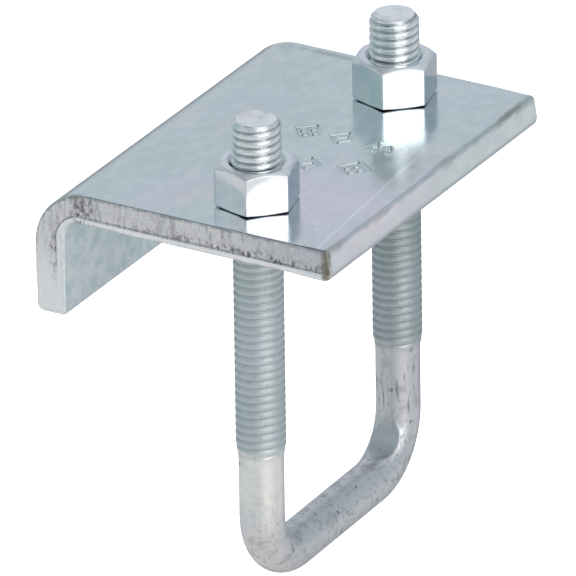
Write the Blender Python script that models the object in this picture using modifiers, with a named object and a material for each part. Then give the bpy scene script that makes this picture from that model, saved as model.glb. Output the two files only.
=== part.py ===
"""Beam clamp for strut channel: a folded clamp plate, a square U-bolt and two hex nuts.

Frame, in metres: the origin is on the plate's underside, halfway across its width and between the
two legs of the U-bolt. +X points to the toe, which bears on the beam's flange. -X points to the folded lip, which
rests on the channel. +Y runs along the fold and +Z points up, away from the channel.
"""

import math

import bmesh
import bpy
from mathutils import Matrix

MM = 0.001

# Clamp plate, folded from flat bar; its reaches are to the sharp corners that the radii take off
PLATE_THICKNESS = 6.35 * MM
PLATE_WIDTH = 79.4 * MM
TOE_REACH = 23.75 * MM
HEEL_REACH = 40.15 * MM
LIP_DROP = 19.4 * MM
FOLD_OUTER_RADIUS = 11.6 * MM
FOLD_INNER_RADIUS = 3.0 * MM
TOE_SLANT = 1.0 * MM
TOE_TOP_RADIUS = 1.0 * MM
TOE_BOTTOM_RADIUS = 2.0 * MM
LIP_OUTER_RADIUS = 1.5 * MM
LIP_INNER_RADIUS = 1.0 * MM
SHEARED_EDGE_RADIUS = 0.6 * MM

# U-bolt, whose legs stand in line with the fold but for a small turn about Z
LEG_SPACING = 53.6 * MM
LEGS_TURN = math.radians(0.88)
LEGS_MIDDLE = (-0.34 * MM, 0.63 * MM)
ROD_DIAMETER = 8.56 * MM
SHANK_LENGTH = 11.65 * MM
BEND_RADIUS = 11.7 * MM
BEND_FLAT_DEPTH = 1.1 * MM

# Rolled thread, 3/8 inch with 16 turns to the inch
THREAD_DIAMETER = 9.525 * MM
THREAD_PITCH = 25.4 / 16 * MM
THREAD_LENGTH = 66.15 * MM
RUNOUT_TURNS = 2.25
STUD_HEIGHT = 16.75 * MM
STUD_CHAMFER_DEPTH = 0.85 * MM
STUD_CHAMFER_LENGTH = 1.2 * MM

# Hex nuts
NUT_ACROSS_FLATS = 14.29 * MM
NUT_HEIGHT = 8.1 * MM
NUT_CHAMFER_INSET = 0.45 * MM
NUT_CHAMFER_ANGLE = math.radians(30)
NUT_SEAT_CHAMFER_ANGLE = math.radians(14)
NUT_COUNTERSINK_DEPTH = 0.45 * MM
FRONT_NUT_BEARING = math.radians(45.0)
REAR_NUT_BEARING = math.radians(42.7)

# Clearances, each on the radius or on one side
HOLE_CLEARANCE = 0.8 * MM
NUT_BORE_CLEARANCE = 0.3 * MM
NUT_SEAT_GAP = 0.3 * MM
DIE_CLEARANCE = 0.05 * MM
HOLE_EDGE_BREAK = 0.3 * MM
CUTTER_OVERLAP = 2.0 * MM

# Facets
ROUND_STEPS = 48
FOLD_STEPS = 12
EDGE_STEPS = 4
BEND_STEPS = 16

# Heights that follow from the sizes above
TOP_FACE = PLATE_THICKNESS
NUT_SEAT = TOP_FACE + NUT_SEAT_GAP
STUD_TOP = TOP_FACE + STUD_HEIGHT
THREAD_END = STUD_TOP - THREAD_LENGTH
SHANK_TOP = THREAD_END - RUNOUT_TURNS * THREAD_PITCH
BEND_TOP = SHANK_TOP - SHANK_LENGTH
BAR_HEIGHT = BEND_TOP - BEND_RADIUS


def leg_axis(side):
    """X and Y of a leg's axis, with side -1 for the front leg and 1 for the rear one."""
    reach = side * LEG_SPACING / 2
    return (LEGS_MIDDLE[0] - reach * math.sin(LEGS_TURN), LEGS_MIDDLE[1] + reach * math.cos(LEGS_TURN))


def arc(centre, radius, start, end, steps):
    """Points on an arc in the outline's plane, from one angle to another in degrees."""
    points = []
    for i in range(steps + 1):
        angle = math.radians(start + (end - start) * i / steps)
        points.append((centre[0] + radius * math.cos(angle), centre[1] + radius * math.sin(angle)))
    return points


def rounded_corner(corner, before, after, radius, steps=EDGE_STEPS):
    """Points of the fillet at a corner of an outline, between its two neighbouring points."""
    to_before = math.atan2(before[1] - corner[1], before[0] - corner[0])
    to_after = math.atan2(after[1] - corner[1], after[0] - corner[0])
    opening = (to_after - to_before + math.pi) % (2 * math.pi) - math.pi
    half = abs(opening) / 2
    middle = to_before + opening / 2
    reach = radius / math.sin(half)
    centre = (corner[0] + reach * math.cos(middle), corner[1] + reach * math.sin(middle))
    turn = math.copysign(math.pi / 2 - half, opening)
    facing = middle + math.pi
    return arc(centre, radius, math.degrees(facing + turn), math.degrees(facing - turn), steps)


def material(name, colour, roughness):
    """A plated metal with one colour and roughness."""
    made = bpy.data.materials.new(name)
    made.use_nodes = True
    shader = made.node_tree.nodes["Principled BSDF"]
    shader.inputs["Base Color"].default_value = (*colour, 1.0)
    shader.inputs["Metallic"].default_value = 1.0
    shader.inputs["Roughness"].default_value = roughness
    return made


def add_object(name, mesh, collection, finish=None):
    """Links a mesh to a collection as a named object."""
    made = bpy.data.objects.new(name, mesh)
    collection.objects.link(made)
    if finish:
        mesh.materials.append(finish)
    return made


def add_cutter(name, mesh, cutters):
    """Links a mesh to the cutters' collection, left out of renders."""
    cutter = add_object(name, mesh, cutters)
    cutter.hide_render = True
    cutter.display_type = "WIRE"
    return cutter


def mesh_from(name, build):
    """A mesh filled by a function that works on a bmesh, with its faces turned outwards."""
    work = bmesh.new()
    build(work)
    bmesh.ops.recalc_face_normals(work, faces=work.faces)
    mesh = bpy.data.meshes.new(name)
    work.to_mesh(mesh)
    work.free()
    return mesh


def extruded(name, outline, start, along):
    """A prism: a closed outline placed by a function and extruded along a vector."""

    def build(work):
        corners = [work.verts.new(start(a, b)) for a, b in outline]
        face = work.faces.new(corners)
        grown = bmesh.ops.extrude_face_region(work, geom=[face])
        moved = [item for item in grown["geom"] if isinstance(item, bmesh.types.BMVert)]
        bmesh.ops.translate(work, verts=moved, vec=along)

    return mesh_from(name, build)


def turned_profile(name, profile):
    """An open profile of radius and height, listed from top to bottom, for a Screw modifier."""
    mesh = bpy.data.meshes.new(name)
    edges = [(i, i + 1) for i in range(len(profile) - 1)]
    mesh.from_pydata([(radius, 0.0, height) for radius, height in profile], edges, [])
    return mesh


def add_screw(turned):
    """Turns an object's profile once round its own Z axis."""
    screw = turned.modifiers.new("Turn", "SCREW")
    screw.angle = 2 * math.pi
    screw.steps = ROUND_STEPS
    screw.render_steps = ROUND_STEPS
    screw.use_merge_vertices = True
    screw.merge_threshold = 0.00001
    return screw


def add_boolean(target, cutter, operation="DIFFERENCE"):
    """Cuts or trims a part with another object."""
    boolean = target.modifiers.new(cutter.name, "BOOLEAN")
    boolean.operation = operation
    boolean.solver = "EXACT"
    boolean.object = cutter
    return boolean


def smooth(part, angle=30):
    """Shades round faces smooth and leaves edges sharper than the angle."""
    part.data.shade_smooth()
    part.data.set_sharp_from_angle(angle=math.radians(angle))


def plate_outline():
    """The folded plate's section in X and Z, from the toe round the fold to the lip and back."""
    lip_inner = -HEEL_REACH + PLATE_THICKNESS
    toe_top = (TOE_REACH - TOE_SLANT, TOP_FACE)
    toe_bottom = (TOE_REACH, 0.0)
    lip_outer_corner = (-HEEL_REACH, -LIP_DROP)
    lip_inner_corner = (lip_inner, -LIP_DROP)
    fold_top = (-HEEL_REACH + FOLD_OUTER_RADIUS, TOP_FACE)
    fold_under = (lip_inner + FOLD_INNER_RADIUS, 0.0)
    return [
        *rounded_corner(toe_top, toe_bottom, fold_top, TOE_TOP_RADIUS),
        *arc((fold_top[0], TOP_FACE - FOLD_OUTER_RADIUS), FOLD_OUTER_RADIUS, 90, 180, FOLD_STEPS),
        *rounded_corner(lip_outer_corner, (-HEEL_REACH, 0.0), lip_inner_corner, LIP_OUTER_RADIUS),
        *rounded_corner(lip_inner_corner, lip_outer_corner, (lip_inner, 0.0), LIP_INNER_RADIUS),
        *arc((fold_under[0], -FOLD_INNER_RADIUS), FOLD_INNER_RADIUS, 180, 90, FOLD_STEPS),
        *rounded_corner(toe_bottom, fold_under, toe_top, TOE_BOTTOM_RADIUS),
    ]


def add_hole_cutter(name, axis, cutters):
    """A leg's hole through the plate, with its edges broken top and bottom."""
    radius = THREAD_DIAMETER / 2 + HOLE_CLEARANCE
    flare = radius + CUTTER_OVERLAP + HOLE_EDGE_BREAK
    profile = [
        (0.0, TOP_FACE + CUTTER_OVERLAP),
        (flare, TOP_FACE + CUTTER_OVERLAP),
        (radius, TOP_FACE - HOLE_EDGE_BREAK),
        (radius, HOLE_EDGE_BREAK),
        (flare, -CUTTER_OVERLAP),
        (0.0, -CUTTER_OVERLAP),
    ]
    cutter = add_cutter(name, turned_profile(name, profile), cutters)
    cutter.location = (*axis, 0.0)
    add_screw(cutter)
    return cutter


def build_clamp_plate(parts, cutters, finish):
    """The plate: one piece of flat bar, folded once along Y and drilled for both legs."""

    def start(x, z):
        return (x, -PLATE_WIDTH / 2, z)

    mesh = extruded("clamp_plate", plate_outline(), start, (0.0, PLATE_WIDTH, 0.0))
    plate = add_object("clamp_plate", mesh, parts, finish)
    bevel = plate.modifiers.new("Sheared edges", "BEVEL")
    bevel.width = SHEARED_EDGE_RADIUS
    bevel.segments = 3
    bevel.limit_method = "ANGLE"
    bevel.angle_limit = math.radians(60)
    for name, side in (("front_hole", -1), ("rear_hole", 1)):
        add_boolean(plate, add_hole_cutter(name, leg_axis(side), cutters))
    smooth(plate)
    return plate


def leg_stations():
    """Height and radius down one leg: its end chamfer, thread, runout and plain rod."""
    rod = ROD_DIAMETER / 2
    thread = THREAD_DIAMETER / 2
    return [
        (STUD_TOP, thread - STUD_CHAMFER_DEPTH),
        (STUD_TOP - STUD_CHAMFER_LENGTH, thread),
        (THREAD_END, thread),
        (SHANK_TOP, rod),
    ]


def u_bolt_stations():
    """Y, Z and radius along the rod, down the front leg, across the bar and up the rear leg."""
    rod = ROD_DIAMETER / 2
    half = LEG_SPACING / 2
    front = [(-half, z, radius) for z, radius in leg_stations()]
    bend = arc((-half + BEND_RADIUS, BEND_TOP), BEND_RADIUS, 180, 270, BEND_STEPS)
    front += [(y, z, rod) for y, z in bend]
    return front + [(-y, z, radius) for y, z, radius in reversed(front)]


def rod_mesh():
    """The bent rod as a mesh: a curve whose radius follows the thread, with welded caps."""
    curve = bpy.data.curves.new("u_bolt_path", "CURVE")
    curve.dimensions = "3D"
    curve.bevel_depth = 1.0
    curve.bevel_resolution = (ROUND_STEPS - 4) // 2
    curve.use_fill_caps = True
    stations = u_bolt_stations()
    spline = curve.splines.new("POLY")
    spline.points.add(len(stations) - 1)
    for point, (y, z, radius) in zip(spline.points, stations):
        point.co = (0.0, y, z, 1.0)
        point.radius = radius
    path = bpy.data.objects.new("u_bolt_path", curve)
    bpy.context.scene.collection.objects.link(path)
    graph = bpy.context.evaluated_depsgraph_get()
    mesh = bpy.data.meshes.new_from_object(path.evaluated_get(graph))
    mesh.name = "u_bolt"
    bpy.data.objects.remove(path)
    bpy.data.curves.remove(curve)
    work = bmesh.new()
    work.from_mesh(mesh)
    bmesh.ops.remove_doubles(work, verts=work.verts, dist=0.00001)
    bmesh.ops.recalc_face_normals(work, faces=work.faces)
    work.to_mesh(mesh)
    work.free()
    return mesh


def forming_die_outline():
    """The bending die's section in Y and Z. Its tight corners press a flat into each bend."""
    rod = ROD_DIAMETER / 2
    inner_radius = BEND_RADIUS - rod
    die_radius = inner_radius - DIE_CLEARANCE - BEND_FLAT_DEPTH / (math.sqrt(2) - 1)
    half = LEG_SPACING / 2 - rod - DIE_CLEARANCE
    low = BAR_HEIGHT + rod + DIE_CLEARANCE
    high = BEND_TOP + CUTTER_OVERLAP
    return [
        (half, high),
        (-half, high),
        *arc((-half + die_radius, low + die_radius), die_radius, 180, 270, BEND_STEPS),
        *arc((half - die_radius, low + die_radius), die_radius, 270, 360, BEND_STEPS),
    ]


def build_u_bolt(parts, cutters, finish):
    """The U-bolt: one rod with a thread rolled on each leg and a pressed flat inside each bend."""
    bolt = add_object("u_bolt", rod_mesh(), parts, finish)
    reach = THREAD_DIAMETER / 2 + CUTTER_OVERLAP

    def start(y, z):
        return (-reach, y, z)

    mesh = extruded("forming_die", forming_die_outline(), start, (2 * reach, 0.0, 0.0))
    die = add_cutter("forming_die", mesh, cutters)
    for placed in (bolt, die):
        placed.location = (*LEGS_MIDDLE, 0.0)
        placed.rotation_euler.z = LEGS_TURN
    add_boolean(bolt, die)
    smooth(bolt)
    return bolt


def hexagon_mesh(name):
    """The nut's plain hexagon, from its seat up, with a corner on +X."""

    def build(work):
        corner_radius = NUT_ACROSS_FLATS / math.sqrt(3)
        made = bmesh.ops.create_cone(
            work, cap_ends=True, segments=6, radius1=corner_radius, radius2=corner_radius, depth=NUT_HEIGHT
        )
        bmesh.ops.rotate(work, verts=made["verts"], matrix=Matrix.Rotation(math.radians(30), 3, "Z"))
        bmesh.ops.translate(work, verts=made["verts"], vec=(0.0, 0.0, NUT_HEIGHT / 2))

    return mesh_from(name, build)


def nut_chamfer_profile():
    """The turned body that trims the hexagon's corners at both faces."""
    face_radius = NUT_ACROSS_FLATS / 2 - NUT_CHAMFER_INSET
    wide = NUT_ACROSS_FLATS / math.sqrt(3) + CUTTER_OVERLAP
    reach = wide - face_radius
    return [
        (0.0, NUT_HEIGHT),
        (face_radius, NUT_HEIGHT),
        (wide, NUT_HEIGHT - reach * math.tan(NUT_CHAMFER_ANGLE)),
        (wide, reach * math.tan(NUT_SEAT_CHAMFER_ANGLE)),
        (face_radius, 0.0),
        (0.0, 0.0),
    ]


def nut_bore_profile():
    """The nut's bore and its two countersinks, past both faces."""
    radius = THREAD_DIAMETER / 2 + NUT_BORE_CLEARANCE
    flare = radius + NUT_COUNTERSINK_DEPTH + CUTTER_OVERLAP
    return [
        (0.0, NUT_HEIGHT + CUTTER_OVERLAP),
        (flare, NUT_HEIGHT + CUTTER_OVERLAP),
        (radius, NUT_HEIGHT - NUT_COUNTERSINK_DEPTH),
        (radius, NUT_COUNTERSINK_DEPTH),
        (flare, -CUTTER_OVERLAP),
        (0.0, -CUTTER_OVERLAP),
    ]


def build_nut(name, axis, bearing, parts, cutters, finish):
    """A hex nut on its leg's axis, chamfered on both faces and turned to its own bearing."""
    nut = add_object(name, hexagon_mesh(name), parts, finish)
    nut.location = (*axis, NUT_SEAT)
    nut.rotation_euler.z = bearing
    for suffix, profile, operation in (
        ("chamfer", nut_chamfer_profile(), "INTERSECT"),
        ("bore", nut_bore_profile(), "DIFFERENCE"),
    ):
        cutter_name = f"{name}_{suffix}"
        cutter = add_cutter(cutter_name, turned_profile(cutter_name, profile), cutters)
        cutter.location = nut.location
        add_screw(cutter)
        add_boolean(nut, cutter, operation)
    smooth(nut)
    return nut


def clear_scene():
    """Removes every object of the starting scene."""
    for item in list(bpy.data.objects):
        bpy.data.objects.remove(item, do_unlink=True)


def main():
    """Builds the four pieces of the clamp."""
    clear_scene()
    parts = bpy.data.collections.new("Beam clamp")
    cutters = bpy.data.collections.new("Cutters")
    for collection in (parts, cutters):
        bpy.context.scene.collection.children.link(collection)
    plate_finish = material("zinc plated plate", (0.60, 0.65, 0.68), 0.32)
    bolt_finish = material("zinc plated rod", (0.62, 0.64, 0.64), 0.36)
    nut_finish = material("zinc plated nut", (0.66, 0.70, 0.73), 0.18)
    build_clamp_plate(parts, cutters, plate_finish)
    build_u_bolt(parts, cutters, bolt_finish)
    build_nut("front_nut", leg_axis(-1), FRONT_NUT_BEARING, parts, cutters, nut_finish)
    build_nut("rear_nut", leg_axis(1), REAR_NUT_BEARING, parts, cutters, nut_finish)


main()
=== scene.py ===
"""Beam clamp for strut channel, dressed for its picture.

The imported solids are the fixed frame. A folded plate, a threaded U-bolt and two hex nuts stand in
for them, each worked out as a surface of two parameters and given its own plated finish.

Frame, in metres: the origin is on the plate's underside, halfway across its width and between the
two legs of the U-bolt. +X points to the toe, -X to the folded lip, +Y runs along the fold and +Z
points up.
"""

import logging
import math
from collections.abc import Sequence
from dataclasses import dataclass
from enum import Enum
from functools import reduce

import bmesh
import bpy
import numpy as np
from mathutils import Matrix, Vector


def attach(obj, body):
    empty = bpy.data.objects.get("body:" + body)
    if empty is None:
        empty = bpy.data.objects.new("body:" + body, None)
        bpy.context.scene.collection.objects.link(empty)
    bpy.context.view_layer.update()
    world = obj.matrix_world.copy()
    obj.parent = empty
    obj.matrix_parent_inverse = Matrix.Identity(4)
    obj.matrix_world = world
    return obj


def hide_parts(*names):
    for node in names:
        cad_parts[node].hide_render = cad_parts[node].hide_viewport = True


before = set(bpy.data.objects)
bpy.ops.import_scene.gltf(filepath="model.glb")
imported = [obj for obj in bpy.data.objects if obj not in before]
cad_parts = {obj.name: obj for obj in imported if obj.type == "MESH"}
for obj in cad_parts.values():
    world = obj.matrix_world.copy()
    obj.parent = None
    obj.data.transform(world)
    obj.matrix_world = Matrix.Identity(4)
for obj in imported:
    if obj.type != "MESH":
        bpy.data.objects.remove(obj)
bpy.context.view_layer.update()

LOG = logging.getLogger("beam_clamp")
MM = 0.001
WELD = 0.0005 * MM
SLIVER = 0.0002 * MM
Pair = tuple[float, float]
Triple = tuple[float, float, float]
Colour = Triple


class Body(Enum):
    """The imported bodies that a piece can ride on."""

    PLATE = "plate"
    BOLT = "bolt"
    FRONT_NUT = "nut_front"
    REAR_NUT = "nut_rear"


class Slot(Enum):
    """The record's material slots."""

    PLATE = "plated_plate"
    ROD = "plated_rod"
    NUT = "plated_nut"


class Trait(Enum):
    """Names of the values that a mesh carries for its material."""

    EDGE = "edge"
    # sheared ends on the plate; painted shade in the bore on the nuts
    SHEAR = "shear"
    DEPTH = "depth"
    THREAD = "thread"
    ROOT = "root"
    CUT = "cut"
    PRESSED = "pressed"


Traits = dict[Trait, np.ndarray]


# Shapes


@dataclass(frozen=True)
class Legs:
    """Where the U-bolt's two legs stand: in line with the fold but for a small turn about Z."""

    spacing: float = 53.6 * MM
    turn: float = math.radians(0.88)
    middle: Pair = (-0.34 * MM, 0.63 * MM)

    def axis(self, side: int) -> Pair:
        """X and Y of a leg's axis, with side -1 for the front leg and 1 for the rear one."""
        reach = side * self.spacing / 2
        return self.middle[0] - reach * math.sin(self.turn), self.middle[1] + reach * math.cos(self.turn)

    def placed(self, points: np.ndarray) -> np.ndarray:
        """Points worked out for legs on the Y axis, turned about Z and moved to where they stand."""
        c, s = math.cos(self.turn), math.sin(self.turn)
        x, y, z = points[..., 0], points[..., 1], points[..., 2]
        return np.stack([self.middle[0] + c * x - s * y, self.middle[1] + s * x + c * y, z], axis=-1)


def smoothstep(low: float, high: float, value: np.ndarray | float) -> np.ndarray:
    """A smooth rise from 0 at low to 1 at high, by 3t^2 - 2t^3.

    Args:
        low: where the rise starts.
        high: where it ends, which may be below low.
        value: the places asked for.

    Returns:
        The height of the rise at each place.
    """
    t = np.clip((value - low) / (high - low), 0.0, 1.0)
    return t * t * (3.0 - 2.0 * t)


def ripple(place: np.ndarray, wavelength: float, seed: int, waves: int = 7) -> np.ndarray:
    """A sum of sines whose wavelengths spread round one length, scaled to about -1 to 1.

    Args:
        place: distance along the surface.
        wavelength: the middle wavelength.
        seed: picks the fixed set of wavelengths and phases.
        waves: how many sines are summed.

    Returns:
        The sum at each place.
    """
    draw = np.random.default_rng(seed)
    lengths = wavelength * np.exp(draw.uniform(-0.8, 0.8, waves))
    phases = draw.uniform(0.0, 2.0 * math.pi, waves)
    total = np.zeros_like(place)
    for length, phase in zip(lengths, phases):
        total += np.sin(2.0 * math.pi * place / length + phase)
    return total / math.sqrt(2.0 * waves)


@dataclass
class Curve:
    """Points of a plane curve with their outward normals."""

    points: np.ndarray
    normals: np.ndarray

    @staticmethod
    def line(start: Pair, end: Pair, shares: np.ndarray, normal: Pair) -> "Curve":
        """Points at given shares of a straight run.

        Args:
            start: the run's first point.
            end: its last point.
            shares: how far along each point lies, from 0 to 1.
            normal: the outward normal of the whole run.

        Returns:
            The curve.
        """
        a, b = np.array(start), np.array(end)
        points = a + shares[:, None] * (b - a)
        return Curve(points, np.tile(np.array(normal), (len(points), 1)))

    @staticmethod
    def arc(centre: Pair, radius: float, start: float, end: float, steps: int, hollow: bool = False) -> "Curve":
        """Centre plus radius times (cos a, sin a), as a goes from start to end.

        Args:
            centre: the arc's centre.
            radius: its radius.
            start: first angle in degrees.
            end: last angle in degrees.
            steps: number of steps between them.
            hollow: the metal lies outside the arc, so its normal points to the centre.

        Returns:
            The curve.
        """
        angle = np.radians(np.linspace(start, end, steps + 1))
        facing = np.stack([np.cos(angle), np.sin(angle)], axis=1)
        return Curve(np.array(centre) + radius * facing, -facing if hollow else facing)

    @staticmethod
    def join(runs: list["Curve"]) -> "Curve":
        """Runs end to end, without the first point of each later run."""
        points = [runs[0].points] + [run.points[1:] for run in runs[1:]]
        normals = [runs[0].normals] + [run.normals[1:] for run in runs[1:]]
        return Curve(np.concatenate(points), np.concatenate(normals))


class Shell:
    """Gathers grids of points and their faces, and welds them into one closed mesh."""

    def __init__(self) -> None:
        """Starts with no points."""
        self.points: list[np.ndarray] = []
        self.faces: list[np.ndarray] = []
        self.traits: dict[str, list[np.ndarray]] = {}
        self.count = 0

    def add_grid(
        self,
        grid: np.ndarray,
        traits: Traits,
        closed: bool = True,
        seam_rows: int = 0,
        left_out: np.ndarray | None = None,
    ) -> None:
        """Adds a grid of points and a quad for each of its cells.

        Args:
            grid: rows by columns by 3.
            traits: rows by columns of each value that the mesh carries.
            closed: the last column joins the first.
            seam_rows: where the grid climbs as it goes round, how many rows it climbs in a turn.
            left_out: rows-1 by columns, true for the cells that stay open.
        """
        rows, columns = grid.shape[:2]
        index = np.arange(rows * columns).reshape(rows, columns)
        if closed:
            beside = np.roll(index, -1, axis=1)
            beside[:, -1] = index[np.maximum(np.arange(rows) - seam_rows, 0), 0]
            here = index
        else:
            here, beside = index[:, :-1], index[:, 1:]
        cells = np.stack([here[:-1], beside[:-1], beside[1:], here[1:]], axis=-1)
        keep = np.ones(cells.shape[:2], bool) if left_out is None else ~left_out
        self.faces.append(cells[keep] + self.count)
        self.points.append(grid.reshape(-1, 3))
        for name in Trait:
            value = traits.get(name)
            flat = np.zeros(rows * columns) if value is None else np.broadcast_to(value, (rows, columns)).reshape(-1)
            self.traits.setdefault(name.value, []).append(flat)
        self.count += rows * columns

    def weld(self, name: str, finish: bpy.types.Material, *used: Trait) -> bpy.types.Object:
        """Welds the grids where they meet and links the result as an object.

        Args:
            name: the piece's name.
            finish: its material.
            *used: the values that the material reads.

        Returns:
            The object, at the origin, with its place in its mesh.
        """
        points = np.concatenate(self.points)
        faces = np.concatenate(self.faces)
        mesh = bpy.data.meshes.new(name)
        mesh.vertices.add(len(points))
        mesh.vertices.foreach_set("co", points.ravel())
        mesh.loops.add(faces.size)
        mesh.loops.foreach_set("vertex_index", faces.ravel())
        mesh.polygons.add(len(faces))
        mesh.polygons.foreach_set("loop_start", np.arange(0, faces.size, 4))
        mesh.update(calc_edges=True)
        for trait in used:
            values = np.concatenate(self.traits[trait.value]).astype(np.float32)
            mesh.attributes.new(trait.value, "FLOAT", "POINT").data.foreach_set("value", values)
        work = bmesh.new()
        work.from_mesh(mesh)
        bmesh.ops.remove_doubles(work, verts=work.verts, dist=WELD)
        bmesh.ops.dissolve_degenerate(work, edges=work.edges, dist=SLIVER)
        bmesh.ops.recalc_face_normals(work, faces=work.faces)
        work.to_mesh(mesh)
        work.free()
        mesh.shade_smooth()
        mesh.materials.append(finish)
        piece = bpy.data.objects.new(name, mesh)
        bpy.context.scene.collection.objects.link(piece)
        return piece


# Finishes


Socket = bpy.types.NodeSocket
Tree = bpy.types.NodeTree
Input = Socket | float | tuple[float, ...]
VECTOR_INPUTS = ("Place", "Stretch", "Centre", "Reach")


class Wiring:
    """Places nodes in one tree and links them."""

    def __init__(self, tree: Tree) -> None:
        """Works on one node tree."""
        self.tree = tree

    def node(self, kind: str, **settings: object) -> bpy.types.Node:
        """A node of a kind, with its settings.

        Args:
            kind: the node's kind.
            **settings: values of its own properties.

        Returns:
            The node.
        """
        made = self.tree.nodes.new(kind)
        for key, value in settings.items():
            setattr(made, key, value)
        return made

    def feed(self, socket: Socket, value: Input) -> None:
        """Links a socket to an input, or sets the input's own value.

        Args:
            socket: the input to feed.
            value: the output to link, or the value to set.
        """
        if isinstance(value, Socket):
            self.tree.links.new(value, socket)
        else:
            socket.default_value = (*value, 1.0) if socket.type == "RGBA" else value

    def fed(self, kind: str, inputs: dict[int | str, Input], output: int | str = 0, **settings: object) -> Socket:
        """One output of a new node whose inputs are fed.

        Args:
            kind: the node's kind.
            inputs: what each input takes, by its name or number.
            output: the output's name or number.
            **settings: the node's own settings.

        Returns:
            The output.
        """
        made = self.node(kind, **settings)
        for key, value in inputs.items():
            self.feed(made.inputs[key], value)
        return made.outputs[output]

    def math(self, operation: str, first: Input, second: Input, clamp: bool = False) -> Socket:
        """One operation on two values."""
        return self.fed("ShaderNodeMath", {0: first, 1: second}, operation=operation, use_clamp=clamp)

    def times(self, *factors: Input) -> Socket:
        """The product of several values."""
        return reduce(lambda product, factor: self.math("MULTIPLY", product, factor), factors)

    def highest(self, *values: Input) -> Socket:
        """The highest of several values."""
        return reduce(lambda high, value: self.math("MAXIMUM", high, value), values)

    def rest(self, share: Input) -> Socket:
        """What a share leaves of 1."""
        return self.math("SUBTRACT", 1.0, share)

    def swing(self, value: Input, gain: Input) -> Socket:
        """How far a value is from a half, times a gain."""
        return self.times(self.math("SUBTRACT", value, 0.5), gain)

    def blend(self, share: Input, first: Input, second: Input) -> Socket:
        """A colour between two colours."""
        return self.fed("ShaderNodeMix", {0: share, 6: first, 7: second}, 2, data_type="RGBA")

    def between(self, share: Input, first: Input, second: Input) -> Socket:
        """A number between two numbers."""
        return self.fed("ShaderNodeMix", {0: share, 2: first, 3: second}, data_type="FLOAT")

    def rise(self, value: Input, low: Input, high: Input) -> Socket:
        """A smooth rise from 0 at low to 1 at high."""
        inputs = {"Value": value, "From Min": low, "From Max": high}
        return self.fed("ShaderNodeMapRange", inputs, interpolation_type="SMOOTHSTEP")

    def vector(self, operation: str, first: Input, second: Input) -> Socket:
        """One operation on two vectors that gives a vector."""
        return self.fed("ShaderNodeVectorMath", {0: first, 1: second}, operation=operation)

    def noise(self, place: Input, scale: Input, detail: float = 3.0, roughness: float = 0.5) -> Socket:
        """Soft noise at a scale given in features to the metre."""
        inputs = {"Vector": place, "Scale": scale, "Detail": detail, "Roughness": roughness}
        return self.fed("ShaderNodeTexNoise", inputs)


class Effect(Wiring):
    """A node group being built, with what its user gives it in order."""

    def __init__(self, name: str, given: tuple[str, ...], made: tuple[str, ...]) -> None:
        """Starts a group.

        Args:
            name: the group's name.
            given: its inputs' names.
            made: its outputs' names, all of them values.
        """
        super().__init__(bpy.data.node_groups.new(name, "ShaderNodeTree"))
        for in_out, names in (("INPUT", given), ("OUTPUT", made)):
            for socket in names:
                kind = "NodeSocketVector" if socket in VECTOR_INPUTS else "NodeSocketFloat"
                self.tree.interface.new_socket(name=socket, in_out=in_out, socket_type=kind)
        self.given = self.node("NodeGroupInput").outputs[: len(given)]
        self.sink = self.node("NodeGroupOutput")

    def deliver(self, *values: Socket) -> Tree:
        """The finished group, its outputs fed in order."""
        for socket, value in zip(self.sink.inputs, values):
            self.feed(socket, value)
        return self.tree


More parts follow.
